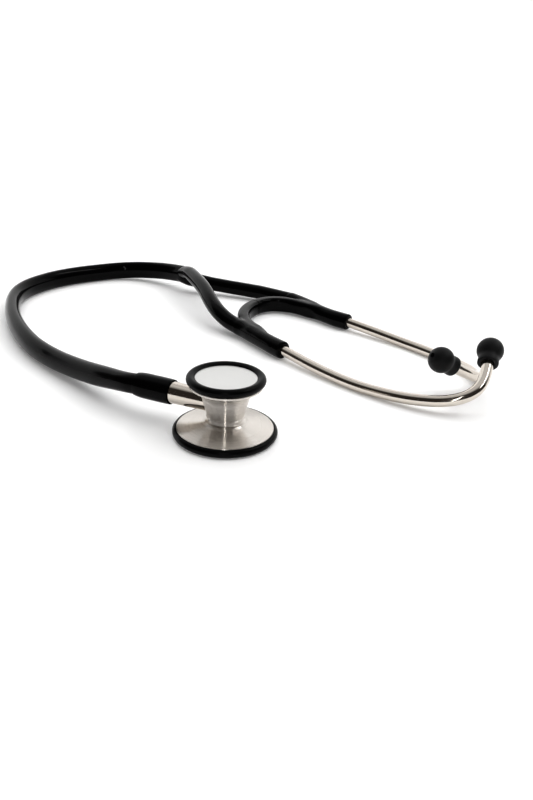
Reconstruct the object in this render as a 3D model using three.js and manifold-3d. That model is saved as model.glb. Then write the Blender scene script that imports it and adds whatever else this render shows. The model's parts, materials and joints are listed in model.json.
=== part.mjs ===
// Dual-head stethoscope, lying on its large diaphragm with the headset open beside it.
// Millimetres, +Z up. The origin is the centre of the large diaphragm's face, on the table.
import * as THREE from 'three';
import { mergeVertices } from 'three/addons/utils/BufferGeometryUtils.js';
import Module from 'manifold-3d';

const wasm = await Module();
wasm.setup();

const DEG = Math.PI / 180;
const GAP = 0.3;                 // clearance between neighbouring pieces

// Chest piece
const LARGE_RIM_RADIUS = 23;     // outside of the large non-chill rim
const LARGE_ROLL = 1.9;          // radius of that rim's rounded roll
const SMALL_RIM_RADIUS = 17.06;  // outside of the small rim
const SMALL_ROLL = 1.84;
const SMALL_ROLL_HEIGHT = 26.25; // height of the small rim's roll above the table
const STEM_HEIGHT = 14.2;        // height of the stem's axis
const STEM_HEADING = 157.5;      // degrees from +X, seen from above
const BORE_RADIUS = 3.5;         // hole in the barrel that the valve stem turns in
const SPIGOT_RADIUS = 3.2;       // the stem's turning end
const DETENT_DISTANCE = 4.5;     // detent hole, from the barrel's axis along the stem
const CLIP_DISTANCE = 6.65;      // retaining clip, from the barrel's axis
const CUFF_START = 26.2;         // the cuff's mouth, from the barrel's axis
const CUFF_END = 44.5;

// Tubing and headset
const TUBE_HEIGHT = 11;          // the dual-lumen tube is an oval that stands upright
const TUBE_WIDTH = 9.6;
const LUMEN_RADIUS = 1.5;
const BRANCH_RADIUS = 4.7;
const SOCKET_RADIUS = 4.9;
const EAR_TUBE_RADIUS = 2.875;
const EAR_TUBE_BORE = 2.275;
const SOCKET_BORE = 3.2;
const SOCKET_DEPTH = 18;         // length of ear tube inside its socket
const SOUND_BORE = 2;
const COVER_HEIGHT = 9.2;        // the sleeve over the leaf spring is an upright bar
const COVER_WIDTH = 7.1;
const COVER_CORNER = 2;
const LEAF_HEIGHT = 5.5;
const LEAF_THICKNESS = 0.8;

// The free tube, from the cuff round the loop to the fork
const MAIN_ROUTE = [
  [-40.9, 16.94, 14.2], [-42.9, 17.7, 14.05], [-44.9, 18.7, 13.8], [-47.7, 20.7, 13.3], [-51.5, 23.9, 12.5],
  [-58.3, 29.9, 11], [-65.6, 36.5, 9.4], [-73.3, 43.6, 8], [-81.3, 51, 6.9], [-89.7, 58.8, 6.1],
  [-98.6, 67.4, 5.8], [-108.5, 78.5, 5.7], [-117.5, 91, 5.8], [-126.5, 105.9, 5.9],
  [-134.8, 122.6, 6], [-140.6, 137.5, 6.1], [-144.8, 151.5, 6.1], [-147, 165, 6.1],
  [-146, 179, 6.1], [-141.2, 192.9, 6.1], [-133.4, 206.4, 6.1], [-122, 218.6, 6.1],
  [-108.4, 229, 6.1], [-97.5, 235, 6.3], [-88, 237, 6.8], [-78.8, 235.9, 7.6],
  [-69.1, 232.5, 8.6], [-59.8, 227, 9.8], [-50.5, 219.2, 11.1], [-43.4, 211.8, 12.2],
];
// At the fork the upper lumen goes to the near ear and the lower one to the far ear.
const NEAR_FORK = [[-50.5, 219.2, 12.3], [-46.4, 214.8, 13.6], [-42.8, 209.3, 15], [-39.7, 202.4, 15.8]];
const FAR_FORK = [[-50.5, 219.2, 9.9], [-45.6, 214.4, 9.6], [-39.8, 211.7, 9], [-33.6, 210.7, 8.5]];
const NEAR_BRANCH = [
  [-39.55, 202, 15.8], [-36.8, 195.2, 16.1], [-33.9, 187.8, 16.2], [-31, 180.2, 16.1],
  [-27.9, 172.2, 15.7], [-24.7, 163.3, 14.8], [-21.5, 153.8, 13.4], [-18.2, 145.6, 11.8],
  [-14.2, 138, 10], [-8.4, 130.9, 7.7], [-1.9, 124.8, 6.3],
];
const FAR_BRANCH = [
  [-33.2, 210.65, 8.5], [-26.4, 209.2, 7.6], [-19.4, 207.9, 7], [-12.1, 206.2, 6.5],
  [-5, 204.3, 6.2], [2.1, 201.9, 6], [9.2, 198.7, 6], [16.2, 194.7, 5.9], [23.2, 190.4, 5.8],
  [29.7, 186.1, 5.8],
];
// The leaf spring's centreline, from inside the near socket round to inside the far one
const ARCH_ROUTE = [
  [10.5, 114, 5.6], [5.2, 123.5, 5.7], [1.9, 132.5, 5.7], [0.6, 141.5, 5.7], [1.4, 151, 5.7],
  [4.2, 160.2, 5.7], [9.2, 168.7, 5.7], [17, 174.2, 5.7], [26.2, 174.6, 5.7], [34.3, 171.2, 5.7],
  [42.2, 165.7, 5.6], [50, 160, 5.5],
];
const NEAR_SOCKET_END = 0.275;   // shares of the arch at which cover and sockets meet
const FAR_SOCKET_START = 0.731;
const LEAF_START = 0.2;
const LEAF_END = 0.8;
const ARCH_LENGTH = 110;

// Each arm: the mouth of its socket, the ear tube's heading and dip there, the socket's run, and
// its lean, which is how far the tube's end is bent away from the pattern the two tubes share
const ARMS = [
  {
    name: 'near', side: 1, mouth: [25.5, 91.5, 5.1], heading: -48.9, dip: 3.3, lean: [2.7, -4.9, 2.1],
    socket: [
      [-1.5, 124.4, 6.2], [2.8, 120.6, 5.8], [8, 113.6, 5.6], [13.2, 106.4, 5.5],
      [20.3, 97.4, 5.2], [25.5, 91.5, 5.1],
    ],
    sound: [[-3, 125.8, 6.4], [-1.5, 124.4, 6.2], [2.8, 120.6, 6], [8, 113.6, 6.1], [14, 104.7, 6.1]],
    branch: NEAR_BRANCH, lug: [0, NEAR_SOCKET_END],
  },
  {
    name: 'far', side: -1, mouth: [66.1, 145.9, 5.1], heading: -39.3, dip: 3.3, lean: [-3.7, -8.5, -3.7],
    socket: [
      [30.1, 185.8, 5.8], [36.4, 179.3, 5.7], [42.9, 171.2, 5.5], [49, 161.6, 5.4],
      [56.8, 153.4, 5.2], [66.1, 145.9, 5.1],
    ],
    sound: [[28.9, 186.6, 5.8], [30.1, 185.8, 5.8], [36.4, 179.3, 5.8], [42.9, 171.2, 5.9], [49, 161.6, 6],
      [52.4, 157.1, 6.1]],
    branch: FAR_BRANCH, lug: [FAR_SOCKET_START, 1],
  },
];
// The ear tube in its arm's frame: x out of the socket, y towards the other ear, z up
const EAR_TUBE_ROUTE = [
  [-SOCKET_DEPTH, 0, 0], [-8, 0, 0], [2, 0, 0], [10.3, 0, 0], [19.6, 0, 0], [31.9, 0.5, 0.1],
  [44.3, 1.5, 0.4], [53.5, 2.7, 0.9], [63.5, 4.9, 1.7], [72.3, 7.6, 2.6], [79.9, 10.9, 3.5],
  [87, 15, 4.6], [92.5, 19.4, 5.7], [96.5, 24, 7], [99, 28.3, 8.4], [100.3, 32.9, 10.1],
  [100.3, 36.8, 11.7], [98.8, 42.2, 14.2], [96.2, 47.3, 16.8], [92.8, 52.7, 19.9],
];
const LEAN_START = 7;             // the route's points between which a tube takes up its lean
const LEAN_END = 17;
const TIP_MOUTH = [94.15, 50.45, 18.6];
const TIP_AXIS = [-0.467, 0.755, 0.46];

const UP = new THREE.Vector3(0, 0, 1);

// ---------------------------------------------------------------- shape helpers

function signedVolume(positions, triangles) {
  const corner = (index) => new THREE.Vector3().fromArray(positions, 3 * index);
  let volume = 0;
  for (let i = 0; i < triangles.length; i += 3) {
    const normal = corner(triangles[i + 1]).cross(corner(triangles[i + 2]));
    volume += corner(triangles[i]).dot(normal) / 6;
  }
  return volume;
}

// Turns a three.js geometry into one closed solid whose faces look outward.
function solid(geometry) {
  const bare = geometry.clone();
  bare.deleteAttribute('normal');
  bare.deleteAttribute('uv');
  const merged = mergeVertices(bare, 1e-4);
  const index = merged.index.array;
  const positions = Float32Array.from(merged.attributes.position.array);
  const triangles = [];
  for (let i = 0; i < index.length; i += 3) {
    const [a, b, c] = index.slice(i, i + 3);
    if (a !== b && b !== c && c !== a) triangles.push(a, b, c);
  }
  if (signedVolume(positions, triangles) < 0) triangles.reverse();
  const mesh = new wasm.Mesh({ numProp: 3, vertProperties: positions, triVerts: Uint32Array.from(triangles) });
  return new wasm.Manifold(mesh);
}

function toGeometry(manifold) {
  const mesh = manifold.getMesh();
  const geometry = new THREE.BufferGeometry();
  geometry.setAttribute('position', new THREE.BufferAttribute(Float32Array.from(mesh.vertProperties), 3));
  geometry.setIndex(new THREE.BufferAttribute(Uint32Array.from(mesh.triVerts), 1));
  geometry.computeVertexNormals();
  return geometry;
}

// Arc of [radius, height] points about a centre, angles in degrees from the +radius side.
function arc(centreRadius, centreHeight, radius, from, to, steps) {
  return Array.from({ length: steps + 1 }, (_, i) => {
    const angle = (from + (to - from) * (i / steps)) * DEG;
    return [centreRadius + radius * Math.cos(angle), centreHeight + radius * Math.sin(angle)];
  });
}

// Turns a profile of [radius, height] points about Z. One that doesn't start on Z closes on itself.
function turned(profile, sides) {
  const closed = profile[0][0] > 0 ? [...profile, profile[0]] : profile;
  const points = closed.map(([radius, height]) => new THREE.Vector2(radius, height));
  return new THREE.LatheGeometry(points, sides).rotateX(Math.PI / 2);
}

function rod(radius, start, end, sides) {
  return turned([[0, start], [radius, start], [radius, end], [0, end]], sides);
}

function box(width, depth, height, centre) {
  return new THREE.BoxGeometry(width, depth, height).translate(...centre);
}

// Polygon of an oval outline, with round holes given as [x, y, radius, sides].
function oval(height, width, sides, holes = []) {
  const ring = (x, y, across, up, count) => Array.from({ length: count }, (_, i) => {
    const angle = 2 * Math.PI * (i + 0.5) / count;
    return new THREE.Vector2(x + up * Math.cos(angle), y + across * Math.sin(angle));
  });
  const outline = new THREE.Shape(ring(0, 0, width / 2, height / 2, sides));
  outline.holes = holes.map(([x, y, radius, count]) => new THREE.Path(ring(x, y, radius, radius, count)));
  return outline;
}

function curveThrough(route) {
  return new THREE.CatmullRomCurve3(route.map((point) => new THREE.Vector3(...point)));
}

// The stretch of a curve between two shares of its length.
class Stretch extends THREE.Curve {
  constructor(base, from, to) {
    super();
    this.base = base;
    this.from = from;
    this.to = to;
  }

  getPoint(share, target) {
    return this.base.getPointAt(this.from + (this.to - this.from) * share, target);
  }
}

function swept(outline, curve, steps) {
  return new THREE.ExtrudeGeometry(outline, { extrudePath: curve, steps });
}

function sweptRound(radius, curve, steps, sides) {
  return solid(swept(oval(2 * radius, 2 * radius, sides), curve, steps));
}

// ---------------------------------------------------------------- materials

function material(colour, roughness, metalness) {
  return () => new THREE.MeshStandardMaterial({ color: colour, roughness, metalness });
}

const brushedSteel = material(0xc8c5bf, 0.3, 1);
const satinSilver = material(0xdcdcda, 0.35, 0.6);
const polishedNickel = material(0xd2cdc5, 0.12, 1);
const springSteel = material(0x9a9a98, 0.3, 1);
const blackRim = material(0x141415, 0.4, 0);
const blackTubing = material(0x0a0a0b, 0.2, 0);
const softRubber = material(0x232326, 0.6, 0);
const paleDiaphragm = material(0xb9b9b4, 0.4, 0);

const stethoscope = new THREE.Group();

// Adds one named piece. Its shape is a three.js geometry or a manifold solid.
function add(name, shape, surface, parent = stethoscope) {
  const geometry = shape instanceof THREE.BufferGeometry ? toGeometry(solid(shape)) : toGeometry(shape);
  const mesh = new THREE.Mesh(geometry, surface());
  mesh.name = name;
  parent.add(mesh);
}

// ---------------------------------------------------------------- chest piece

// The stem's frame: z runs out along the stem, x points down to the table.
const stemFrame = new THREE.Group();
stemFrame.position.set(0, 0, STEM_HEIGHT);
stemFrame.rotation.set(0, 90 * DEG, STEM_HEADING * DEG, 'ZYX');
stemFrame.updateMatrix();
stethoscope.add(stemFrame);

function largeDiaphragm() {
  const sheet = 0.4;
  const formed = [[0, 0], [19.4, 0], [19.9, 0.8], [20.9, 0.8], [20.9, 0.8 + sheet], [19.7, 0.8 + sheet]];
  return turned([...formed, [19.1, sheet], [0, sheet]], 40);
}

function largeRim() {
  const rollRadius = LARGE_RIM_RADIUS - LARGE_ROLL;
  const roll = arc(rollRadius, LARGE_ROLL + 0.1, LARGE_ROLL, -90, 78, 7);
  const inside = [[21.5, 2.6], [20.7, 2.5], [20.7, 1.9], [21.5, 1.8], [21.5, 0.5], [20.2, 0.5]];
  return turned([[20.2, 0.1], ...roll, ...inside], 36);
}

function largeHead() {
  const edge = [[20.4, 1.5], [20.4, 2.8], [21.2, 2.8], [21.2, 3.7], [21, 4]];
  const crown = [[12, 5.75], [9.6, 6.4], [9, 6.8], [8.6, 7.2], [7.6, 7.4], [7.6, 8.7]];
  const socket = [[4.8, 8.7], [4.8, 5.3], [2, 5.3]];
  const cup = [[2, 4.6], [18.9, 1.5]];
  return turned([...edge, ...crown, ...socket, ...cup], 36);
}

function barrelBody() {
  const foot = [[1.7, 5.6], [4.5, 5.6], [4.5, 9], [8.35, 9], [8.45, 9.2], [8.45, 9.45], [8.25, 9.7]];
  const waist = [[9.2, 13.6], [10.2, 17.3], [10.45, 18.3], [11.2, 20], [12.4, 21.5], [14, 22.7]];
  const edge = [[15.8, 23.4], [15.8, 24.1], [14.2, 24.1], [14.2, 24.8], [13.7, 24.8], [13.7, 25.7]];
  const cup = [[14.2, 25.7], [14.2, 26.1], [12.9, 26.1], [1.7, 23.2]];
  const body = solid(turned([...foot, ...waist, ...edge, ...cup], 32));
  const bore = [[0, -4.6], [BORE_RADIUS, -4.6], [BORE_RADIUS, CLIP_DISTANCE - 0.55]];
  const clipGroove = [[4.2, CLIP_DISTANCE - 0.55], [4.2, CLIP_DISTANCE + 0.55]];
  const pocket = [[BORE_RADIUS, CLIP_DISTANCE + 0.55], [BORE_RADIUS, 7.6], [4.8, 7.6], [4.8, 14], [0, 14]];
  const stemHole = turned([...bore, ...clipGroove, ...pocket], 24).applyMatrix4(stemFrame.matrix);
  const angle = STEM_HEADING * DEG;
  const across = [DETENT_DISTANCE * Math.cos(angle), DETENT_DISTANCE * Math.sin(angle), 0];
  const detentHole = turned([[0, 16.5], [1.3, 16.5], [1.3, 22.2], [1.45, 22.2], [1.45, 25], [0, 25]], 16);
  return body.subtract(solid(stemHole)).subtract(solid(detentHole.translate(...across)));
}

function smallRim() {
  const rollRadius = SMALL_RIM_RADIUS - SMALL_ROLL;
  const roll = arc(rollRadius, SMALL_ROLL_HEIGHT, SMALL_ROLL, -113, 90, 7);
  const lip = [[14.6, 27.8], [13.9, 27.45], [13.9, 27.2], [14.9, 27.2], [14.9, 26.2], [14.5, 26.2]];
  const rib = [[14.5, 25.5], [14, 25.4], [14, 25.1], [14.5, 25]];
  return turned([...roll, ...lip, ...rib], 32);
}

// Turned about the stem's axis: heights are distances from the barrel's axis.
function valveStem() {
  const spigot = [[0, -4.3], [SPIGOT_RADIUS, -4.3], [SPIGOT_RADIUS, 1.8]];
  const ringGroove = [[2.05, 1.8], [2.05, 3.2], [SPIGOT_RADIUS, 3.2]];
  const near = CLIP_DISTANCE - 0.55;
  const far = CLIP_DISTANCE + 0.55;
  const clipGroove = [[SPIGOT_RADIUS, near], [2.4, near], [2.4, far], [SPIGOT_RADIUS, far]];
  const sleeve = [[SPIGOT_RADIUS, 7.9], [4.5, 7.9], [5, CUFF_START], [5, 28.7]];
  const barbs = [[3.4, 28.7], [3.4, 30], [3.9, 30.4], [3.4, 33], [3.9, 33.4], [3.4, 36], [3.9, 36.4], [3.3, 38]];
  const bore = [[1.5, 38], [1.5, -2.8], [0, -2.8]];
  const stem = solid(turned([...spigot, ...ringGroove, ...clipGroove, ...sleeve, ...barbs, ...bore], 20));
  const port = rod(1.5, 0, 5, 12).rotateY(90 * DEG);
  let cut = stem.subtract(solid(port));
  for (const side of [-1, 1]) {
    const dimple = new THREE.SphereGeometry(1.35, 12, 8).translate(side * (SPIGOT_RADIUS + 0.65), 0, DETENT_DISTANCE);
    cut = cut.subtract(solid(dimple));
  }
  return cut;
}

function stemORing() {
  return turned(arc(2.75, 2.5, 0.4, 0, 300, 5), 16);
}

function retainingClip() {
  const ring = solid(turned([[2.7, -0.25], [3.9, -0.25], [3.9, 0.25], [2.7, 0.25]], 20));
  const opening = solid(box(4, 1.8, 2, [3, 0, 0]));
  return ring.subtract(opening).translate(0, 0, CLIP_DISTANCE);
}

function detentSpring() {
  const turns = 4;
  const height = 2;
  const helix = Array.from({ length: 8 * turns + 1 }, (_, i) => {
    const angle = 2 * Math.PI * i / 8;
    return [0.75 * Math.cos(angle), 0.75 * Math.sin(angle), height * i / (8 * turns)];
  });
  return swept(oval(0.35, 0.35, 4), curveThrough(helix), 9 * turns);
}

function detentScrew() {
  const screw = solid(rod(1.15, 22.4, 23.5, 16));
  return screw.subtract(solid(box(4, 0.4, 0.8, [0, 0, 23.5])));
}

function addChestPiece() {
  add('large_diaphragm', largeDiaphragm(), paleDiaphragm);
  add('large_rim', largeRim(), blackRim);
  add('large_head', largeHead(), brushedSteel);
  add('barrel_body', barrelBody(), brushedSteel);
  add('small_rim', smallRim(), blackRim);
  add('small_diaphragm', rod(14.6, 26.5, 26.9, 36), satinSilver);
  add('valve_stem', valveStem(), polishedNickel, stemFrame);
  add('stem_o_ring', stemORing(), softRubber, stemFrame);
  add('stem_retaining_clip', retainingClip(), springSteel, stemFrame);

  const detent = new THREE.Group();
  const angle = STEM_HEADING * DEG;
  detent.position.set(DETENT_DISTANCE * Math.cos(angle), DETENT_DISTANCE * Math.sin(angle), 0);
  stethoscope.add(detent);
  const ballHeight = STEM_HEIGHT + SPIGOT_RADIUS + 1.1;
  add('detent_ball', new THREE.SphereGeometry(1, 12, 8).translate(0, 0, ballHeight), springSteel, detent);
  add('detent_spring', detentSpring().translate(0, 0, 19.95), springSteel, detent);
  add('detent_screw', detentScrew(), brushedSteel, detent);
}

// ---------------------------------------------------------------- tubing

function tubeCuff() {
  const outside = [[5.35, CUFF_START], [5.6, CUFF_START], [5.7, 27.2], [5.8, 30], [5.8, 40], [5.6, 42]];
  const inside = [[5.3, CUFF_END], [2.4, CUFF_END], [2.4, 38 + GAP], [4.2, 38 + GAP], [4.2, 29], [5.35, 29]];
  return turned([...outside, ...inside], 24);
}

// A lumen keeps a fixed height above or below the tube's centreline until it enters its branch.
function lumenRoute(offset, fork) {
  const along = MAIN_ROUTE.slice(0, -2).map(([x, y, z]) => [x, y, z + offset]);
  const [x, y, z] = MAIN_ROUTE[0];
  const lead = [x + 0.9, y - 0.4, z + offset];
  const last = fork[fork.length - 1];
  const before = fork[fork.length - 2];
  const beyond = last.map((value, axis) => value + 0.2 * (value - before[axis]));
  return [lead, ...along, ...fork.slice(1), beyond];
}

function mainTube() {
  const trunk = solid(swept(oval(TUBE_HEIGHT, TUBE_WIDTH, 12), curveThrough(MAIN_ROUTE), 34));
  let tube = trunk;
  for (const fork of [NEAR_FORK, FAR_FORK]) {
    tube = tube.add(sweptRound(BRANCH_RADIUS, curveThrough(fork), 4, 12));
  }
  const cuffZone = rod(9, CUFF_END - 10, CUFF_END + GAP, 16).applyMatrix4(stemFrame.matrix);
  tube = tube.subtract(solid(cuffZone));
  const offset = 2.2;
  tube = tube.subtract(sweptRound(LUMEN_RADIUS, curveThrough(lumenRoute(offset, NEAR_FORK)), 34, 5));
  return tube.subtract(sweptRound(LUMEN_RADIUS, curveThrough(lumenRoute(-offset, FAR_FORK)), 34, 5));
}

function branchTube(route) {
  const section = oval(2 * BRANCH_RADIUS, 2 * BRANCH_RADIUS, 12, [[0, 0, LUMEN_RADIUS, 5]]);
  return swept(section, curveThrough(route), 10);
}

const arch = curveThrough(ARCH_ROUTE);
const seam = GAP / ARCH_LENGTH;

// An upright bar's section: straight sides and quarter-round corners of three points each
function roundedBar(height, width, corner) {
  const points = [];
  for (const [quarter, up, across] of [[0, 1, 1], [1, -1, 1], [2, -1, -1], [3, 1, -1]]) {
    for (const step of [0, 45, 90]) {
      const angle = (90 * quarter + step) * DEG;
      points.push(new THREE.Vector2(
        up * (height / 2 - corner) + corner * Math.cos(angle),
        across * (width / 2 - corner) + corner * Math.sin(angle),
      ));
    }
  }
  return new THREE.Shape(points);
}

function plank(height, width) {
  const half = new THREE.Vector2(height / 2, width / 2);
  const corners = [[-half.x, -half.y], [half.x, -half.y], [half.x, half.y], [-half.x, half.y]];
  return new THREE.Shape(corners.map(([x, y]) => new THREE.Vector2(x, y)));
}

function springSlot() {
  const section = plank(LEAF_HEIGHT + 2.4 * GAP, LEAF_THICKNESS + 2.4 * GAP);
  return solid(swept(section, new Stretch(arch, LEAF_START - 0.005, LEAF_END + 0.005), 24));
}

function leafSpring() {
  return swept(plank(LEAF_HEIGHT, LEAF_THICKNESS), new Stretch(arch, LEAF_START, LEAF_END), 24);
}

function springCover() {
  const stretch = new Stretch(arch, NEAR_SOCKET_END + seam, FAR_SOCKET_START - seam);
  return solid(swept(roundedBar(COVER_HEIGHT, COVER_WIDTH, COVER_CORNER), stretch, 16)).subtract(springSlot());
}

function addTubing() {
  add('tube_cuff', tubeCuff(), blackTubing, stemFrame);
  add('main_tube', mainTube(), blackTubing);
  add('near_branch_tube', branchTube(NEAR_BRANCH), blackTubing);
  add('far_branch_tube', branchTube(FAR_BRANCH), blackTubing);
  add('spring_cover', springCover(), blackTubing);
  add('leaf_spring', leafSpring(), springSteel);
}

// ---------------------------------------------------------------- headset

function armFrame(arm) {
  const frame = new THREE.Group();
  frame.position.set(...arm.mouth);
  frame.rotation.set(0, arm.dip * DEG, arm.heading * DEG, 'ZYX');
  frame.updateMatrix();
  return frame;
}

// A socket is a moulded sleeve with a lug that takes the end of the leaf spring.
function earTubeSocket(arm, frame) {
  const sleeve = sweptRound(SOCKET_RADIUS, curveThrough(arm.socket), 10, 14);
  const lug = solid(swept(roundedBar(COVER_HEIGHT, COVER_WIDTH, COVER_CORNER), new Stretch(arch, ...arm.lug), 8));
  const bore = rod(SOCKET_BORE, -SOCKET_DEPTH - GAP, 3, 16).rotateY(90 * DEG).applyMatrix4(frame.matrix);
  const sound = sweptRound(SOUND_BORE, curveThrough(arm.sound), 8, 8);
  const branch = sweptRound(BRANCH_RADIUS + GAP + 0.1, curveThrough(arm.branch), 11, 14);
  const body = sleeve.add(lug).subtract(branch).subtract(springSlot());
  return body.subtract(solid(bore)).subtract(sound);
}

// A point of the shared pattern, leaned by a share of the arm's lean and mirrored to its side
function leaned(arm, point, share) {
  const [x, y, z] = point.map((value, axis) => value + share * arm.lean[axis]);
  return [x, arm.side * y, z];
}

function earTube(arm) {
  const share = (i) => THREE.MathUtils.smoothstep(i, LEAN_START, LEAN_END);
  const route = EAR_TUBE_ROUTE.map((point, i) => leaned(arm, point, share(i)));
  const section = oval(2 * EAR_TUBE_RADIUS, 2 * EAR_TUBE_RADIUS, 10, [[0, 0, EAR_TUBE_BORE, 6]]);
  return swept(section, curveThrough(route), 28);
}

// The adapter is a grooved sleeve on the tube's end. The tip clips over it and turns on it.
function tipAdapter() {
  const outside = [[3.2, 0.6], [3.9, 0.6], [3.9, 1.6], [3.5, 1.9], [3.5, 3.1], [3.9, 3.4], [3.9, 4.3]];
  return turned([...outside, [1.5, 4.3], [1.5, 3.4], [3.2, 3.4]], 16);
}

function earTip() {
  const skirt = [[3.2, 0], [4.75, 0], [5.1, 0.5], [5.1, 1.8], [4.95, 3.4], [4.9, 4.2]];
  const bulb = arc(0, 8.9, 6.55, -40, 76, 7);
  const cavity = [[1.2, 15.25], [1.2, 4.6], [4.3, 4.6], [4.3, 3.1 - GAP]];
  const bead = [[3.85, 3.1 - GAP], [3.85, 1.9 + GAP], [4.3, 1.9 + GAP]];
  return turned([...skirt, ...bulb, ...cavity, ...bead, [4.3, GAP], [3.2, GAP]], 20);
}

function addArm(arm) {
  const frame = armFrame(arm);
  stethoscope.add(frame);
  add(`${arm.name}_socket`, earTubeSocket(arm, frame), blackTubing);
  add(`${arm.name}_ear_tube`, earTube(arm), polishedNickel, frame);

  const [i, j, k] = TIP_AXIS;
  const tipFrame = new THREE.Group();
  tipFrame.position.set(...leaned(arm, TIP_MOUTH, 1));
  tipFrame.quaternion.setFromUnitVectors(UP, new THREE.Vector3(i, arm.side * j, k).normalize());
  frame.add(tipFrame);
  add(`${arm.name}_tip_adapter`, tipAdapter(), polishedNickel, tipFrame);
  add(`${arm.name}_ear_tip`, earTip(), softRubber, tipFrame);
}

addChestPiece();
addTubing();
ARMS.forEach(addArm);

export default stethoscope;
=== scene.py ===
"""A dual-head stethoscope on a pale table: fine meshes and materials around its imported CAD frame.

Lengths are metres. The frame's origin is the centre of the large diaphragm's face, on the table.
"""
import json
import math

import bmesh
import bpy
from mathutils import Matrix, Vector


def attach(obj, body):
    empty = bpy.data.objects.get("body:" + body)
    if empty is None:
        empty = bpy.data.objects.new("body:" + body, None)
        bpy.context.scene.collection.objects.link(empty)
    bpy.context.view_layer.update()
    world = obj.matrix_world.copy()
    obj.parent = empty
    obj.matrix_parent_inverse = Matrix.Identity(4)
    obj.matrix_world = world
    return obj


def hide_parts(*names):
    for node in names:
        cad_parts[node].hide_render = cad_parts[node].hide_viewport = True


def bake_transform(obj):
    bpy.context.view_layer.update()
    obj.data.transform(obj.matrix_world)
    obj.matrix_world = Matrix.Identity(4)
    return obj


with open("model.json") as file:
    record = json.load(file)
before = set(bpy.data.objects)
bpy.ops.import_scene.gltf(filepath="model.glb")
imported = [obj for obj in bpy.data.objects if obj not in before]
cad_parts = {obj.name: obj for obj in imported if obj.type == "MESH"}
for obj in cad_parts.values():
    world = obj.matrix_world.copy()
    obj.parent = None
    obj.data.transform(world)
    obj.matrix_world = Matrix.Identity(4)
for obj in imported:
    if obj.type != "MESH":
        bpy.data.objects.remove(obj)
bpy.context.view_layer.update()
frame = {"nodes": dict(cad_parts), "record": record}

MM = 0.001
UP = Vector((0, 0, 1))

# Camera
CAMERA_PLACE = (0.0174, -0.2709, 0.1445)
CAMERA_PITCH = math.radians(25.14)   # down from the horizon
CAMERA_ROLL = math.radians(-2.85)
CAMERA_LENS = 31.5                   # millimetres, as is the sensor's width
CAMERA_SENSOR = 36

# Stem
STEM_HEIGHT = 14.2 * MM              # of its axis over the table
STEM_HEADING = math.radians(157.5)

# Free tube
TUBE_DIAMETER = 10.5 * MM            # where it is round, beside the cuff
TUBE_SLIMMING = 0.1                  # share by which it is slimmer inside the cuff
SLIM_END = 6 * MM                    # distances along the tube from its start in the cuff
ROUND_START = 30 * MM
OVAL_START = 40 * MM
OVAL_FULL = 170 * MM
OVAL_HEIGHT = 12 * MM                # where it stands as an oval, round the loop
OVAL_WIDTH = 8.7 * MM
FORK_NARROWING = 0.3                 # share that the tube's end loses inside the fork
FORK_STRETCH = 2.5 * MM

# Branches and sockets
BRANCH_RADIUS = 4.7 * MM
BRANCH_START_RADIUS = 3.7 * MM       # inside the fork
BRANCH_GROWTH = 14 * MM              # stretch over which a branch gains its full radius
SOCKET_RADIUS = 4.95 * MM
SOCKET_EDGE = 0.8 * MM               # rounding round its mouth
SOCKET_LIP = 2.95 * MM               # radius of the mouth, snug round the ear tube
SOCKET_DEPTH = 9 * MM                # of the hole behind the mouth

# Sprung arch: an upright leaf spring, and the sleeve over it
COVER_HEIGHT = 9.4 * MM
COVER_WIDTH = 7.2 * MM
COVER_CORNER = 2.1 * MM
COVER_SLIMMING = 0.35                # share by which its ends are slimmer, inside the sockets
COVER_TAPER = 16 * MM
LEAF_HEIGHT = 5.5 * MM
LEAF_THICKNESS = 0.8 * MM
LEAF_CORNER = 0.2 * MM
LEAF_START = 0.2                     # shares of the arch's length
LEAF_MIDDLE = 0.515
LEAF_END = 0.8

# An arm's tubes are melted into one skin
SKIN_VOXEL = 0.35 * MM
FILLET_FULL = 6 * MM                 # distances from the centre of a crotch
FILLET_END = 13 * MM

# Headset
EAR_TUBE_RADIUS = 2.875 * MM


def metres(route):
    return [Vector(point) * MM for point in route]


MAIN_ROUTE = metres([
    (-40.9, 16.94, 14.2), (-42.9, 17.7, 14.05), (-44.9, 18.7, 13.8), (-47.7, 20.7, 13.3),
    (-51.5, 23.9, 12.5), (-58.3, 29.9, 11), (-65.6, 36.5, 9.4), (-73.3, 43.6, 8),
    (-81.3, 51, 6.9), (-89.7, 58.8, 6.1), (-98.6, 67.4, 5.8), (-108.5, 78.5, 5.7),
    (-117.5, 91, 5.8), (-126.5, 105.9, 5.9), (-134.8, 122.6, 6), (-140.6, 137.5, 6.1),
    (-144.8, 151.5, 6.1), (-147, 165, 6.1), (-146, 179, 6.1), (-141.2, 192.9, 6.1),
    (-133.4, 206.4, 6.1), (-122, 218.6, 6.1), (-108.4, 229, 6.1), (-97.5, 235, 6.3),
    (-88, 237, 6.8), (-78.8, 235.9, 7.6), (-69.1, 232.5, 8.6), (-59.8, 227, 9.8),
    (-50.5, 219.2, 11.1), (-43.4, 211.8, 12.2),
])
NEAR_FORK = metres([(-50.5, 219.2, 11.8), (-46.4, 214.8, 12.9), (-42.8, 209.3, 14.4)])
FAR_FORK = metres([(-50.5, 219.2, 9.9), (-45.6, 214.4, 9.6), (-39.8, 211.7, 9)])
NEAR_BRANCH = metres([
    (-39.55, 202, 15.8), (-36.8, 195.2, 16.1), (-33.9, 187.8, 16.2), (-31, 180.2, 16.1),
    (-27.9, 172.2, 15.7), (-24.7, 163.3, 14.8), (-21.5, 153.8, 13.4), (-18.2, 145.6, 11.8),
    (-14.2, 138, 10), (-8.4, 130.9, 7.7), (-1.9, 124.8, 6.3),
])
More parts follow.
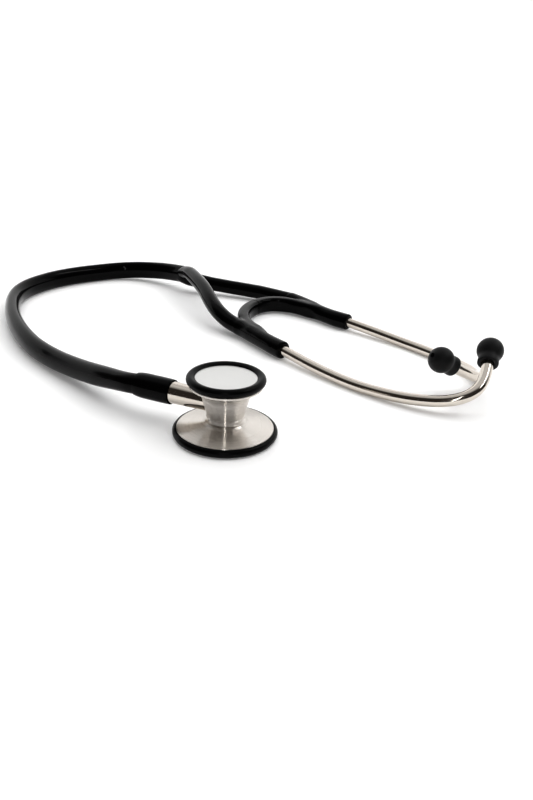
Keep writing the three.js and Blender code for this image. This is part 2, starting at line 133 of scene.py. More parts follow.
FAR_BRANCH = metres([
    (-33.2, 210.65, 8.5), (-26.4, 209.2, 7.6), (-19.4, 207.9, 7), (-12.1, 206.2, 6.5),
    (-5, 204.3, 6.2), (2.1, 201.9, 6), (9.2, 198.7, 6), (16.2, 194.7, 5.9), (23.2, 190.4, 5.8),
    (29.7, 186.1, 5.8),
])
NEAR_SOCKET = metres([
    (-1.5, 124.4, 6.2), (2.8, 120.6, 5.8), (8, 113.6, 5.6), (13.2, 106.4, 5.5),
    (20.3, 97.4, 5.2), (25.5, 91.5, 5.1),
])
FAR_SOCKET = metres([
    (30.1, 185.8, 5.8), (36.4, 179.3, 5.7), (42.9, 171.2, 5.5), (49, 161.6, 5.4),
    (56.8, 153.4, 5.2), (66.1, 145.9, 5.1),
])
ARCH_ROUTE = metres([
    (10.5, 114, 5.6), (5.2, 123.5, 5.7), (1.9, 132.5, 5.7), (0.6, 141.5, 5.7), (1.4, 151, 5.7),
    (4.2, 160.2, 5.7), (9.2, 168.7, 5.7), (17, 174.2, 5.7), (26.2, 174.6, 5.7), (34.3, 171.2, 5.7),
    (42.2, 165.7, 5.6), (50, 160, 5.5),
])
# Past the leaf spring each end of the sleeve's skin runs on into its socket
NEAR_LEAD = metres([(19.3, 98.9, 5.3), (16.1, 103.5, 5.4), (13.3, 108.6, 5.5)])
FAR_LEAD = metres([(55.2, 155.4, 5.3), (60.3, 151, 5.2)])
# Where each arm's skin is softened: the crotch of the arch, and the sleeve's end in the socket
NEAR_JOINS = metres([(3.5, 126, 5.7), (14.5, 107, 5.7)])
FAR_JOINS = metres([(37, 175, 5.7), (51, 159.5, 5.5)])
# Two places on each arm's skin, the first on the tubing's side
NEAR_BEND = (0, 0.172, 0), (0, 0.134, 0)
FAR_BEND = (0.005, 0, 0), (0.031, 0, 0)
ARCH_APEX = 0.525                    # share of the skin's length at its crown
OVERLAP = 0.022                      # share by which each arm's skin runs on past the crown
EAR_TUBE_ROUTE = metres([
    (-18, 0, 0), (-8, 0, 0), (2, 0, 0), (10.3, 0, 0), (19.6, 0, 0), (31.9, 0.5, 0.1),
    (44.3, 1.5, 0.4), (53.5, 2.7, 0.9), (63.5, 4.9, 1.7), (72.3, 7.6, 2.6), (79.9, 10.9, 3.5),
    (87, 15, 4.6), (92.5, 19.4, 5.7), (96.5, 24, 7), (99, 28.3, 8.4), (100.3, 32.9, 10.1),
    (100.3, 36.8, 11.7), (98.8, 42.2, 14.2), (96.2, 47.3, 16.8), (92.8, 52.7, 19.9),
])
LEAN_START = 7                       # the route's points between which a tube takes up its lean
LEAN_END = 17
TIP_MOUTH = Vector((94.15, 50.45, 18.6)) * MM
TIP_AXIS = Vector((-0.467, 0.755, 0.46))
ARMS = {                             # places and leans in millimetres, angles in degrees
    "near": {
        "side": 1, "mouth": (25.5, 91.5, 5.1), "heading": -48.9, "dip": 3.3,
        "lean": (2.7, -4.9, 2.1),
    },
    "far": {
        "side": -1, "mouth": (66.1, 145.9, 5.1), "heading": -39.3, "dip": 3.3,
        "lean": (-3.7, -8.5, -3.7),
    },
}

# Table and room
TABLE_REACH = 30.0                   # to each side and to the front
TABLE_BACK = 2.2                     # where it starts to curve up
TABLE_CURVE = 1.0                    # radius of that curve
CURVE_STEPS = 16
BACKDROP_TOP = 3.5
NEAR_GLOW = 0.12                     # painted light on the table beside the object, which lightens its shadows
FAR_GLOW = 0.55                      # painted light on the table far away
GLOW_START = 0.35                    # distances between which the glow rises
GLOW_END = 1.0
ROOM_BRIGHT_SIDE = (0.15, 0.75, 0.75)
ROOM_DARK = (0.035, 0.031, 0.028, 1)
ROOM_BRIGHT = (0.6, 0.6, 0.6, 1)
DARK_UNTIL = 0.35                    # cosines of the angle from the bright side
BRIGHT_FROM = 0.7

# ---------------------------------------------------------------- camera

def add_camera():
    forward = Vector((0, math.cos(CAMERA_PITCH), -math.sin(CAMERA_PITCH)))
    level = Vector((1, 0, 0))
    down = forward.cross(level)
    right = math.cos(CAMERA_ROLL) * level + math.sin(CAMERA_ROLL) * down
    up = right.cross(forward)
    data = bpy.data.cameras.new("camera")
    data.lens = CAMERA_LENS
    data.sensor_width = CAMERA_SENSOR
    data.clip_start = 0.01
    camera = bpy.data.objects.new("camera", data)
    turn = Matrix((right, up, -forward)).transposed()
    camera.matrix_world = Matrix.Translation(CAMERA_PLACE) @ turn.to_4x4()
    bpy.context.scene.collection.objects.link(camera)
    bpy.context.scene.camera = camera


# ---------------------------------------------------------------- shape helpers

def ease(value, start, end):
    """Rises smoothly from 0 at the start to 1 at the end."""
    share = min(1.0, max(0.0, (value - start) / (end - start)))
    return share * share * (3 - 2 * share)


def smooth_route(points, spacing=1.5 * MM):
    """Points along a centripetal Catmull-Rom curve through the route, about spacing apart."""
    first = 2 * points[0] - points[1]
    last = 2 * points[-1] - points[-2]
    padded = [first, *points, last]
    line = []
    for a, b, c, d in zip(padded, padded[1:], padded[2:], padded[3:]):
        before = (b - a).length ** 0.5
        middle = (c - b).length ** 0.5
        after = (d - c).length ** 0.5
        leave = (b - a) / before - (c - a) / (before + middle) + (c - b) / middle
        arrive = (c - b) / middle - (d - b) / (middle + after) + (d - c) / after
        count = max(2, round((c - b).length / spacing))
        for i in range(count):
            t = i / count
            value = (2 * t ** 3 - 3 * t ** 2 + 1) * b + (t ** 3 - 2 * t ** 2 + t) * middle * leave
            line.append(value + (3 * t ** 2 - 2 * t ** 3) * c + (t ** 3 - t ** 2) * middle * arrive)
    return [*line, points[-1].copy()]


def lengths_along(line):
    """The length of the line up to each of its points."""
    total = [0.0]
    for a, b in zip(line, line[1:]):
        total.append(total[-1] + (b - a).length)
    return total


def stretch(line, start, end):
    """The part of a line between two shares of its length."""
    along = lengths_along(line)
    low, high = start * along[-1], end * along[-1]
    inner = [p for p, s in zip(line, along) if low < s < high]
    return [point_at(line, along, low), *inner, point_at(line, along, high)]


def point_at(line, along, distance):
    for i in range(1, len(line)):
        if along[i] >= distance:
            share = (distance - along[i - 1]) / (along[i] - along[i - 1])
            return line[i - 1].lerp(line[i], share)
    return line[-1].copy()


def oval_outline(height, width, sides=40):
    """Points of an oval as (up, across)."""
    turns = [2 * math.pi * k / sides for k in range(sides)]
    return [(height / 2 * math.cos(a), width / 2 * math.sin(a)) for a in turns]


def bar_outline(height, width, corner, steps=7):
    """Points of an upright bar with rounded corners as (up, across)."""
    points = []
    for quarter, up, across in ((0, 1, 1), (1, -1, 1), (2, -1, -1), (3, 1, -1)):
        for step in range(steps + 1):
            angle = math.radians(90 * (quarter + step / steps))
            points.append((up * (height / 2 - corner) + corner * math.cos(angle),
                           across * (width / 2 - corner) + corner * math.sin(angle)))
    return points


def sweep(bm, line, outline):
    """A closed bar along a line. outline(distance, length) gives its section, as (up, across)."""
    along = lengths_along(line)
    rings = []
    for i, centre in enumerate(line):
        tangent = (line[min(i + 1, len(line) - 1)] - line[max(i - 1, 0)]).normalized()
        across = UP.cross(tangent).normalized()
        upright = tangent.cross(across)
        points = outline(along[i], along[-1])
        rings.append([bm.verts.new(centre + upright * u + across * a) for u, a in points])
    sides = len(rings[0])
    for one, two in zip(rings, rings[1:]):
        for k in range(sides):
            n = (k + 1) % sides
            bm.faces.new((one[k], one[n], two[n], two[k]))
    for ring in (rings[0], rings[-1]):
        bm.faces.new(ring)


def arc(radius, height, size, start, end, steps):
    """Profile points round an arc of that size, angles in degrees from the outward side."""
    turns = [math.radians(start + (end - start) * i / steps) for i in range(steps + 1)]
    return [(radius + size * math.cos(a), height + size * math.sin(a)) for a in turns]


def turned(bm, profile, sides, place=None):
    """Revolves a profile of (radius, height) about Z, in millimetres.

    A profile that starts off the axis closes on itself.
    """
    place = place or Matrix.Identity(4)
    closed = profile[0][0] > 0
    rings = []
    for radius, height in profile:
        count = sides if radius > 0 else 1
        ring = []
        for k in range(count):
            angle = 2 * math.pi * k / sides
            point = Vector((radius * math.cos(angle), radius * math.sin(angle), height)) * MM
            ring.append(bm.verts.new(place @ point))
        rings.append(ring)
    pairs = list(zip(rings, rings[1:]))
    if closed:
        pairs.append((rings[-1], rings[0]))
    for one, two in pairs:
        for k in range(sides):
            n = (k + 1) % sides
            corners = [one[k % len(one)], one[n % len(one)], two[n % len(two)], two[k % len(two)]]
            face = list(dict.fromkeys(corners))
            if len(face) > 2:
                bm.faces.new(face)


def shade(mesh, crease):
    """Smooth shading, which breaks at edges sharper than the crease angle in degrees."""
    mesh.polygons.foreach_set("use_smooth", [True] * len(mesh.polygons))
    mesh.set_sharp_from_angle(angle=math.radians(crease))


def finish_mesh(bm, name, crease=40):
    """Turns a working mesh into an object in the scene."""
    bmesh.ops.recalc_face_normals(bm, faces=bm.faces)
    mesh = bpy.data.meshes.new(name)
    bm.to_mesh(mesh)
    bm.free()
    shade(mesh, crease)
    piece = bpy.data.objects.new(name, mesh)
    bpy.context.scene.collection.objects.link(piece)
    return piece


def apply_modifiers(piece):
    bpy.context.view_layer.update()
    shown = piece.evaluated_get(bpy.context.evaluated_depsgraph_get())
    mesh = bpy.data.meshes.new_from_object(shown)
    piece.modifiers.clear()
    piece.data = mesh


def cut(piece, cutter):
    """Takes the cutter's shape out of the piece."""
    modifier = piece.modifiers.new("cut", "BOOLEAN")
    modifier.object = cutter
    modifier.operation = "DIFFERENCE"
    modifier.solver = "EXACT"
    apply_modifiers(piece)
    bpy.data.objects.remove(cutter)


def stem_frame():
    """z runs out along the stem, from the barrel's axis."""
    turn = Matrix.Rotation(STEM_HEADING, 4, "Z") @ Matrix.Rotation(math.pi / 2, 4, "Y")
    return Matrix.Translation((0, 0, STEM_HEIGHT)) @ turn


def arm_frame(arm):
    """x runs out of the socket along the ear tube, from the centre of the socket's mouth."""
    heading = Matrix.Rotation(math.radians(arm["heading"]), 4, "Z")
    dip = Matrix.Rotation(math.radians(arm["dip"]), 4, "Y")
    return Matrix.Translation(Vector(arm["mouth"]) * MM) @ (heading @ dip)


# ---------------------------------------------------------------- materials

class Nodes:
    """A material's node tree, with short ways to add what the finishes share."""

    def __init__(self, name):
        self.material = bpy.data.materials.new(name)
        self.material.use_nodes = True
        self.tree = self.material.node_tree
        self.shader = self.tree.nodes["Principled BSDF"]
        self.place = self.tree.nodes.new("ShaderNodeTexCoord").outputs["Object"]

    def add(self, kind, **values):
        node = self.tree.nodes.new(kind)
        for key, value in values.items():
            if hasattr(node, key):
                setattr(node, key, value)
            else:
                node.inputs[key].default_value = value
        return node

    def link(self, output, target):
        self.tree.links.new(output, target)

    def feed(self, output, name):
        self.link(output, self.shader.inputs[name])

    def noise(self, scale, detail=3, source=None):
        node = self.add("ShaderNodeTexNoise", Scale=scale, Detail=detail)
        self.link(source or self.place, node.inputs["Vector"])
        return node.outputs["Fac"]

    def spread(self, value, low, high, start=0.3, end=0.7):
        """Stretches a value that runs from start to end, so that it runs from low to high."""
        node = self.add("ShaderNodeMapRange")
        self.link(value, node.inputs["Value"])
        limits = {"From Min": start, "From Max": end, "To Min": low, "To Max": high}
        for key, number in limits.items():
            node.inputs[key].default_value = number
        return node.outputs["Result"]

    def mix(self, factor, one, two):
        node = self.add("ShaderNodeMix", data_type="RGBA")
        self.link(factor, node.inputs["Factor"])
        node.inputs["A"].default_value = (*one, 1)
        node.inputs["B"].default_value = (*two, 1)
        return node.outputs["Result"]

    def bump(self, height, strength, distance):
        node = self.add("ShaderNodeBump", Strength=strength, Distance=distance)
        self.link(height, node.inputs["Height"])
        self.feed(node.outputs["Normal"], "Normal")

    def set(self, **values):
        for key, value in values.items():
            self.shader.inputs[key.replace("_", " ")].default_value = value


def moulded(name, dark, light, roughness, grain_scale, grain, gloss):
    """Moulded rubber or vinyl: two close tones, uneven gloss and a fine grain."""
    nodes = Nodes(name)
    nodes.feed(nodes.mix(nodes.noise(60), dark, light), "Base Color")
    nodes.feed(nodes.spread(nodes.noise(140), *roughness), "Roughness")
    nodes.bump(nodes.noise(grain_scale), grain, 0.05 * MM)
    nodes.set(Specular_IOR_Level=gloss)
    return nodes.material


def lathe_marks(nodes, scale):
    """Noise that changes only with height and with distance from the Z axis."""
    split = nodes.add("ShaderNodeSeparateXYZ")
    nodes.link(nodes.place, split.inputs["Vector"])
    flat = nodes.add("ShaderNodeCombineXYZ")
    nodes.link(split.outputs["X"], flat.inputs["X"])
    nodes.link(split.outputs["Y"], flat.inputs["Y"])
    radius = nodes.add("ShaderNodeVectorMath", operation="LENGTH")
    nodes.link(flat.outputs["Vector"], radius.inputs[0])
    joined = nodes.add("ShaderNodeCombineXYZ")
    nodes.link(radius.outputs["Value"], joined.inputs["X"])
    nodes.link(split.outputs["Z"], joined.inputs["Y"])
    return nodes.noise(scale, 4, joined.outputs["Vector"])


def turned_steel():
    """Brushed steel, whose highlights spread across the lathe's marks."""
    nodes = Nodes("turned_steel")
    marks = lathe_marks(nodes, 9000)
    nodes.feed(nodes.mix(marks, (0.70, 0.66, 0.615), (0.76, 0.725, 0.68)), "Base Color")
    nodes.feed(nodes.spread(marks, 0.26, 0.32), "Roughness")
    nodes.bump(marks, 0.05, 0.02 * MM)
    nodes.set(Metallic=1.0, Anisotropic=1.0, Anisotropic_Rotation=0.25)
    tangent = nodes.add("ShaderNodeTangent", direction_type="RADIAL", axis="Z")
    nodes.feed(tangent.outputs["Tangent"], "Tangent")
    return nodes.material


def satin_disc():
    nodes = Nodes("satin_disc")
    grain = nodes.noise(1500, 5)
    nodes.feed(nodes.mix(grain, (0.66, 0.66, 0.648), (0.70, 0.70, 0.688)), "Base Color")
    nodes.feed(nodes.spread(grain, 0.34, 0.44), "Roughness")
    nodes.bump(grain, 0.08, 0.02 * MM)
    nodes.set(Metallic=0.65)
    return nodes.material


def polished(name, tone, roughness):
    """Smooth metal, slightly uneven in tone and gloss."""
    nodes = Nodes(name)
    darker = tuple(c * 0.94 for c in tone)
    nodes.feed(nodes.mix(nodes.noise(90), darker, tone), "Base Color")
    nodes.feed(nodes.spread(nodes.noise(300), *roughness), "Roughness")
    nodes.bump(nodes.noise(700), 0.015, 0.02 * MM)
    nodes.set(Metallic=1.0)
    return nodes.material


def pale_sheet():
    nodes = Nodes("diaphragm_sheet")
    nodes.feed(nodes.mix(nodes.noise(900), (0.62, 0.62, 0.59), (0.68, 0.68, 0.65)), "Base Color")
    nodes.feed(nodes.spread(nodes.noise(500), 0.38, 0.5), "Roughness")
    nodes.bump(nodes.noise(3000), 0.1, 0.02 * MM)
    return nodes.material


def make_materials():
    """One finish for each of the record's material slots."""
    return {
        "black_tubing": moulded(
            "black_tubing", (0.0010, 0.0010, 0.0012), (0.0020, 0.0020, 0.0022),
            roughness=(0.10, 0.15), grain_scale=900, grain=0.02, gloss=0.09,
        ),
        "black_rim": moulded(
            "black_rim", (0.0015, 0.0015, 0.0016), (0.0025, 0.0025, 0.0027),
            roughness=(0.28, 0.36), grain_scale=1500, grain=0.1, gloss=0.1,
        ),
        "soft_rubber": moulded(
            "soft_rubber", (0.006, 0.006, 0.0065), (0.010, 0.010, 0.0105),
            roughness=(0.45, 0.55), grain_scale=2200, grain=0.15, gloss=0.2,
        ),
        "brushed_steel": turned_steel(),
        "satin_silver": satin_disc(),
        "polished_nickel": polished("polished_nickel", (0.70, 0.645, 0.58), (0.11, 0.16)),
        "spring_steel": polished("spring_steel", (0.52, 0.52, 0.51), (0.2, 0.3)),
        "pale_diaphragm": pale_sheet(),
    }


def dress(piece, slot):
    """Gives a new piece the finish of the record's slot that it stands for."""
    piece.data.materials.clear()
    piece.data.materials.append(materials[slot])


def dress_cad_nodes():
    """Gives the CAD solids their finishes, for those that no new piece replaces."""
    for part in frame["record"]["subparts"]:
        node = frame["nodes"][part["node"]]
        node.data.materials.clear()
        node.data.materials.append(materials[part["material_slot"]])


# ---------------------------------------------------------------- tubing

def free_tube_section(distance, length):
    """Slim and round beside the cuff, a standing oval round the loop, and narrow in the fork."""
    slim = 1 - TUBE_SLIMMING * (1 - ease(distance, SLIM_END, ROUND_START))
    standing = ease(distance, OVAL_START, OVAL_FULL)
    height = TUBE_DIAMETER * slim + (OVAL_HEIGHT - TUBE_DIAMETER) * standing
    width = TUBE_DIAMETER * slim + (OVAL_WIDTH - TUBE_DIAMETER) * standing
    into_fork = 1 - FORK_NARROWING * ease(distance, length - FORK_STRETCH, length)
    return oval_outline(height * into_fork, width * into_fork, sides=48)


def add_free_tube():
    line = smooth_route(MAIN_ROUTE)
    bm = bmesh.new()
    sweep(bm, line, free_tube_section)
    piece = finish_mesh(bm, "free_tube", crease=60)
    dress(piece, "black_tubing")
    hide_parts("main_tube")
    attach(piece, "tubing")


def add_cuff():
    outside = [
        (5.35, 26.2), (5.45, 26.08), (5.58, 26.2), (5.68, 26.7), (5.74, 28), (5.8, 31), (5.8, 40),
        (5.72, 41.6), (5.55, 43.2), (5.3, 44.45), (4.9, 44.6),
    ]
    inside = [(2.4, 44.6), (2.4, 38.3), (4.2, 38.3), (4.2, 29), (5.35, 29)]
    bm = bmesh.new()
    turned(bm, [*outside, *inside], sides=64, place=stem_frame())
    piece = finish_mesh(bm, "cuff", crease=35)
    dress(piece, "black_tubing")
    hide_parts("tube_cuff")
    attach(piece, "tubing")


def relax(piece, factor, passes, group=""):
    """Smooths a mesh, or only the part of it that is in a vertex group."""
    modifier = piece.modifiers.new("relax", "SMOOTH")
    modifier.factor = factor
    modifier.iterations = passes
    modifier.vertex_group = group
    apply_modifiers(piece)


def fused(bm, name, soften):
    """Melts overlapping closed tubes into one skin, softening it where soften(point) is near 1."""
    piece = finish_mesh(bm, name)
    melt = piece.modifiers.new("melt", "REMESH")
    melt.mode = "VOXEL"
    melt.voxel_size = SKIN_VOXEL
    apply_modifiers(piece)
    relax(piece, factor=0.5, passes=12)
    group = piece.vertex_groups.new(name="soften")
    for vertex in piece.data.vertices:
        weight = soften(vertex.co)
        if weight > 0:
            group.add([vertex.index], weight, "REPLACE")
    relax(piece, factor=0.7, passes=90, group="soften")
    piece.vertex_groups.clear()
    return piece


def near_any(centres):
    """A weight that is 1 beside any of the centres and fades to 0 further away."""
    def weight(point):
        nearest = min((point - centre).length for centre in centres)
        return 1 - ease(nearest, FILLET_FULL, FILLET_END)
    return weight


def branch_section(distance, length):
    """Round, and slimmer where it starts inside the fork."""
    growth = ease(distance, 0, BRANCH_GROWTH)
    size = 2 * (BRANCH_START_RADIUS + (BRANCH_RADIUS - BRANCH_START_RADIUS) * growth)
    return oval_outline(size, size)


def socket_section(distance, length):
    """Round, with a rounded edge round the mouth at its far end."""
    short = max(0.0, SOCKET_EDGE - (length - distance)) / SOCKET_EDGE
    size = 2 * (SOCKET_RADIUS - SOCKET_EDGE * (1 - math.sqrt(max(0.0, 1 - short ** 2))))
    return oval_outline(size, size)


def socket_hole(name):
    """The shape to cut out of a socket for its ear tube."""
    radius, depth = SOCKET_LIP / MM, SOCKET_DEPTH / MM
    beyond = 5
    profile = [(0, -depth), (radius, -depth), (radius, beyond), (0, beyond)]
    along_tube = arm_frame(ARMS[name]) @ Matrix.Rotation(math.pi / 2, 4, "Y")
    bm = bmesh.new()
    turned(bm, profile, sides=64, place=along_tube)
    return finish_mesh(bm, f"{name}_bore")


def add_yoke(name, fork, branch, socket, skin, joins, blend_start, blend_end):
    """One arm's branch tube, socket and half of the sprung arch, as one moulding."""
    inside_socket = socket[0].lerp(socket[1], 0.5)
    bm = bmesh.new()
    sweep(bm, smooth_route([*fork, *branch, inside_socket], spacing=1 * MM), branch_section)
    sweep(bm, smooth_route(socket, spacing=0.5 * MM), socket_section)
    sweep(bm, *skin)
    piece = fused(bm, f"{name}_yoke", near_any(joins))
    cut(piece, socket_hole(name))
    shade(piece.data, crease=50)
    dress(piece, "black_tubing")
    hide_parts(f"{name}_branch_tube", f"{name}_socket", "spring_cover")
    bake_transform(piece)


def sleeve_section(from_socket):
    """The skin over the leaf spring, slimmer where its end merges into the socket."""
    slim = 1 - COVER_SLIMMING * (1 - ease(from_socket, 0, COVER_TAPER))
    return bar_outline(COVER_HEIGHT * slim, COVER_WIDTH * slim, COVER_CORNER * slim)


def near_sleeve_section(distance, length):
    return sleeve_section(distance)


def far_sleeve_section(distance, length):
    return sleeve_section(length - distance)


def leaf_section(distance, length):
    return bar_outline(LEAF_HEIGHT, LEAF_THICKNESS, LEAF_CORNER, steps=3)


def add_leaf_half(name, line, blend_start, blend_end):
    """Half of the leaf spring, curved along the arch inside the skin."""
    bm = bmesh.new()
    sweep(bm, line, leaf_section)
    piece = finish_mesh(bm, f"{name}_leaf")
    dress(piece, "spring_steel")
    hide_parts("leaf_spring")
    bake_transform(piece)


def add_tubing():
    add_free_tube()
    add_cuff()
    whole = smooth_route([*NEAR_LEAD, *ARCH_ROUTE, *FAR_LEAD], spacing=1 * MM)
    near_skin = stretch(whole, 0, ARCH_APEX + OVERLAP), near_sleeve_section
    far_skin = stretch(whole, ARCH_APEX - OVERLAP, 1), far_sleeve_section
    add_yoke("near", NEAR_FORK, NEAR_BRANCH, NEAR_SOCKET, near_skin, NEAR_JOINS, *NEAR_BEND)
    add_yoke("far", FAR_FORK, FAR_BRANCH, FAR_SOCKET, far_skin, FAR_JOINS, *FAR_BEND)
    leaf = smooth_route(ARCH_ROUTE, spacing=1 * MM)
    add_leaf_half("near", stretch(leaf, LEAF_START, LEAF_MIDDLE), *NEAR_BEND)
    add_leaf_half("far", stretch(leaf, LEAF_MIDDLE, LEAF_END), *FAR_BEND)


# ---------------------------------------------------------------- headset

def leaned(arm, point, share):
    """A point of the shared route, leaned by a share of the arm's lean and set on its side."""
    x, y, z = point + share * MM * Vector(arm["lean"])
    return Vector((x, arm["side"] * y, z))


def ear_tube_section(distance, length):
    return oval_outline(2 * EAR_TUBE_RADIUS, 2 * EAR_TUBE_RADIUS)


def add_ear_tube(name, arm):
    shares = [ease(i, LEAN_START, LEAN_END) for i in range(len(EAR_TUBE_ROUTE))]
    route = [leaned(arm, point, share) for point, share in zip(EAR_TUBE_ROUTE, shares)]
    place = arm_frame(arm)
    line = [place @ point for point in smooth_route(route, spacing=1 * MM)]
    bm = bmesh.new()
    sweep(bm, line, ear_tube_section)
    piece = finish_mesh(bm, f"{name}_nickel_tube", crease=60)
    dress(piece, "polished_nickel")
    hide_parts(f"{name}_ear_tube")
    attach(piece, f"{name}_tube")


def tip_frame(arm):
    """z runs out through the ear tip, from its mouth on the tube."""
    mouth = leaned(arm, TIP_MOUTH, 1)
    axis = Vector((TIP_AXIS.x, arm["side"] * TIP_AXIS.y, TIP_AXIS.z)).normalized()
    turn = UP.rotation_difference(axis).to_matrix().to_4x4()
    return arm_frame(arm) @ Matrix.Translation(mouth) @ turn


def add_ear_tip(name, arm):
    skirt = [
        (3.2, 0.08), (3.35, 0), (4.6, 0), (4.85, 0.06), (5.02, 0.25), (5.1, 0.55), (5.12, 1),
        (5.1, 1.8), (5.02, 2.6), (4.97, 3.3), (4.98, 3.9), (5.08, 4.45), (5.28, 4.98),
    ]
    bulb = arc(0, 8.9, 6.55, start=-31, end=76, steps=28)
    hole = [(1.35, 15.35), (1.2, 15.1), (1.2, 4.6)]
    cavity = [
        (4.3, 4.6), (4.3, 2.8), (3.85, 2.8), (3.85, 2.2), (4.3, 2.2), (4.3, 0.3), (3.2, 0.3),
    ]
    bm = bmesh.new()
    turned(bm, [*skirt, *bulb, *hole, *cavity], sides=96, place=tip_frame(arm))
    piece = finish_mesh(bm, f"{name}_soft_tip", crease=50)
    dress(piece, "soft_rubber")
    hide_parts(f"{name}_ear_tip")
    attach(piece, f"{name}_tip")


# ---------------------------------------------------------------- chest piece

def chest_part(name, node, profile, slot):
    """A turned piece of the chest piece, in the place of one of its CAD nodes."""
    bm = bmesh.new()
    turned(bm, profile, sides=160)
    piece = finish_mesh(bm, name, crease=30)
    dress(piece, slot)
    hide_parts(node)
    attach(piece, "chestpiece")
    return piece


def add_large_rim():
    roll = arc(21.1, 2, 1.9, start=-90, end=78, steps=28)
    inside = [
        (21.5, 2.6), (20.7, 2.5), (20.7, 1.9), (21.5, 1.8), (21.5, 0.5), (20.2, 0.5), (20.2, 0.1),
    ]
    chest_part("large_rim_ring", "large_rim", [*roll, *inside], "black_rim")


def add_small_rim():
    roll = arc(15.22, 26.25, 1.84, start=-113, end=96, steps=30)
    lip = [(14.5, 27.95), (14, 27.75), (13.6, 27.5), (13.35, 27.3), (13.25, 27.1), (13.3, 26.96)]
    inside = [
        (14.9, 26.96), (14.9, 26.2), (14.5, 26.2), (14.5, 25.5), (14, 25.4), (14, 25.1), (14.5, 25),
    ]
    chest_part("small_rim_ring", "small_rim", [*roll, *lip, *inside], "black_rim")


def add_large_head():
    edge = [(20.4, 1.5), (20.4, 2.8), (21.2, 2.8), (21.2, 3.75), (21.1, 3.92), (20.8, 4.04)]
    cone = [(16, 4.97), (12, 5.75), (10.4, 6.12), (9.6, 6.42), (9.1, 6.8)]
    neck = [
        (8.95, 7), (8.75, 7.12), (8.3, 7.16), (7.9, 7.24), (7.65, 7.45), (7.6, 7.8), (7.6, 8.7),
    ]
    inside = [(4.8, 8.7), (4.8, 5.3), (2, 5.3), (2, 4.6), (18.9, 1.5)]
    profile = [*edge, *cone, *neck, *inside]
    chest_part("large_head_fine", "large_head", profile, "brushed_steel")


def add_barrel():
    stub = [(1.7, 5.6), (4.5, 5.6), (4.5, 9), (8.2, 9)]
    foot = [(8.38, 9.06), (8.47, 9.2), (8.47, 9.4), (8.38, 9.56), (8.22, 9.66), (8.27, 9.9)]
    side = [(8.8, 12), (9.2, 13.6), (9.7, 15.5), (10.2, 17.3), (10.45, 18.3)]
    flare = [
        (10.8, 19.2), (11.2, 20), (11.75, 20.8), (12.4, 21.5), (13.15, 22.15), (14, 22.68),
        (14.9, 23.08), (15.8, 23.4), (15.85, 23.75), (15.8, 24.1),
    ]
    groove = [(14.2, 24.1), (14.2, 24.8), (13.7, 24.8), (13.7, 25.7), (14.2, 25.7), (14.2, 26.1)]
    cup = [(12.9, 26.1), (1.7, 23.2)]
    profile = [*stub, *foot, *side, *flare, *groove, *cup]
    piece = chest_part("barrel_fine", "barrel_body", profile, "brushed_steel")
    hole = [
        (0, -4.6), (3.5, -4.6), (3.5, 6.1), (4.2, 6.1), (4.2, 7.2), (3.5, 7.2), (3.5, 7.6),
        (4.8, 7.6), (4.8, 14), (0, 14),
    ]
    bm = bmesh.new()
    turned(bm, hole, sides=96, place=stem_frame())
    cut(piece, finish_mesh(bm, "stem_hole"))
    shade(piece.data, crease=30)


def add_stem():
    spigot = [(0, -4.3), (3.2, -4.3), (3.2, 1.8)]
    ring_groove = [(2.05, 1.8), (2.05, 3.2), (3.2, 3.2)]
    clip_groove = [(3.2, 6.1), (2.4, 6.1), (2.4, 7.2), (3.2, 7.2)]
    collar = [
        (3.2, 7.9), (4.35, 7.9), (4.5, 8.05), (4.55, 10), (4.75, 17), (5, 26.2), (5, 28.7),
    ]
    barbs = [
        (3.4, 28.7), (3.4, 30), (3.9, 30.4), (3.4, 33), (3.9, 33.4), (3.4, 36), (3.9, 36.4),
        (3.3, 38),
    ]
    passage = [(1.5, 38), (1.5, -2.8), (0, -2.8)]
    profile = [*spigot, *ring_groove, *clip_groove, *collar, *barbs, *passage]
    bm = bmesh.new()
    turned(bm, profile, sides=96, place=stem_frame())
    piece = finish_mesh(bm, "stem_fine", crease=30)
    dress(piece, "polished_nickel")
    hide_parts("valve_stem")
    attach(piece, "tubing")


def add_discs():
    small = [
        (0, 26.5), (14.6, 26.5), (14.6, 26.85), (14.5, 26.9), (13.4, 26.9), (13.2, 26.87),
        (0, 26.9),
    ]
    chest_part("small_disc", "small_diaphragm", small, "satin_silver")
    face = [
        (0, 0), (19.3, 0), (19.42, 0.06), (19.5, 0.16), (19.85, 0.72), (19.95, 0.8), (20.9, 0.8),
    ]
    back = [(20.9, 1.2), (19.7, 1.2), (19.55, 1.1), (19.2, 0.5), (19.05, 0.4), (0, 0.4)]
    chest_part("large_disc", "large_diaphragm", [*face, *back], "pale_diaphragm")


# ---------------------------------------------------------------- stage and light

def table_profile():
    """The table's section from front to back, as (back, up)."""
    profile = [(-TABLE_REACH, 0), (TABLE_BACK, 0)]
    for step in range(1, CURVE_STEPS + 1):
        angle = math.radians(90 * step / CURVE_STEPS)
        back = TABLE_BACK + TABLE_CURVE * math.sin(angle)
        profile.append((back, TABLE_CURVE * (1 - math.cos(angle))))
    profile.append((TABLE_BACK + TABLE_CURVE, BACKDROP_TOP))
    return profile


def table_finish():
    """White, with painted light: a faint glow beside the object that lightens its shadows, rising
    far from it to keep it white there too.
    """
    nodes = Nodes("table")
    nodes.feed(nodes.mix(nodes.noise(4), (0.88, 0.88, 0.88), (0.90, 0.90, 0.90)), "Base Color")
    distance = nodes.add("ShaderNodeVectorMath", operation="LENGTH")
    nodes.link(nodes.place, distance.inputs[0])
    # Painted light: the table glows, faintly beside the object and more strongly far from it
    glow = nodes.spread(distance.outputs["Value"], NEAR_GLOW, FAR_GLOW, GLOW_START, GLOW_END)
    nodes.feed(glow, "Emission Strength")
    nodes.set(Roughness=0.8, Specular_IOR_Level=0.1, Emission_Color=(1, 1, 1, 1))
    return nodes.material


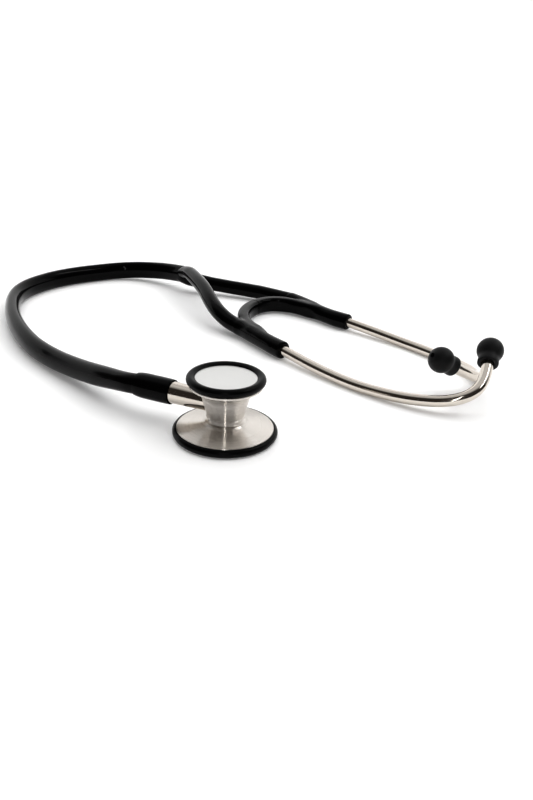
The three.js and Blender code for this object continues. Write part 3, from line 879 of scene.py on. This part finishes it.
def add_floor():
    """A white table that curves up into a backdrop, with its finish."""
    bm = bmesh.new()
    rows = []
    for y, z in table_profile():
        rows.append([bm.verts.new((x, y, z)) for x in (-TABLE_REACH, TABLE_REACH)])
    for one, two in zip(rows, rows[1:]):
        bm.faces.new((one[0], one[1], two[1], two[0]))
    floor = finish_mesh(bm, "floor", crease=80)
    floor.data.materials.append(table_finish())


def add_softbox(name, place, aim, size, power, mirrored=True):
    """A rectangular light. One that isn't mirrored doesn't show in reflections."""
    data = bpy.data.lights.new(name, "AREA")
    data.shape = "RECTANGLE"
    data.size, data.size_y = size
    data.energy = power
    light = bpy.data.objects.new(name, data)
    turn = (Vector(aim) - Vector(place)).to_track_quat("-Z", "Y").to_matrix().to_4x4()
    light.matrix_world = Matrix.Translation(place) @ turn
    light.visible_glossy = mirrored
    bpy.context.scene.collection.objects.link(light)


def add_world():
    """A dark room in front, and light from overhead down to the back."""
    world = bpy.data.worlds.new("room")
    world.use_nodes = True
    tree = world.node_tree
    place = tree.nodes.new("ShaderNodeTexCoord")
    toward = tree.nodes.new("ShaderNodeVectorMath")
    toward.operation = "DOT_PRODUCT"
    toward.inputs[1].default_value = Vector(ROOM_BRIGHT_SIDE).normalized()
    ramp = tree.nodes.new("ShaderNodeValToRGB")
    tree.links.new(place.outputs["Generated"], toward.inputs[0])
    tree.links.new(toward.outputs["Value"], ramp.inputs["Fac"])
    tree.links.new(ramp.outputs["Color"], tree.nodes["Background"].inputs["Color"])
    dark, bright = ramp.color_ramp.elements
    dark.position, dark.color = DARK_UNTIL, ROOM_DARK
    bright.position, bright.color = BRIGHT_FROM, ROOM_BRIGHT
    tree.nodes["Background"].inputs["Strength"].default_value = 1.0
    bpy.context.scene.world = world


def add_lights():
    add_world()
    add_softbox("overhead", (0.1, 0.4, 1.2), (0, 0.1, 0), (2.4, 1.8), power=15, mirrored=False)
    add_softbox("side", (0.9, 0, 0.85), (0, 0.05, 0), (0.8, 0.3), power=0.55)
    add_softbox("side_strip", (0.85, 0.12, 0.95), (0, 0.05, 0), (0.9, 0.04), power=1.5)
    add_softbox("front_strip", (0.05, -1.3, 0.75), (0, 0, 0), (0.03, 1.2), power=2.2)
    view = bpy.context.scene.view_settings
    view.view_transform = "Standard"
    view.look = "Medium High Contrast"


materials = make_materials()
add_camera()
dress_cad_nodes()
add_tubing()
for arm_name, arm_facts in ARMS.items():
    add_ear_tube(arm_name, arm_facts)
    add_ear_tip(arm_name, arm_facts)
add_large_rim()
add_small_rim()
add_large_head()
add_barrel()
add_stem()
add_discs()
add_floor()
add_lights()
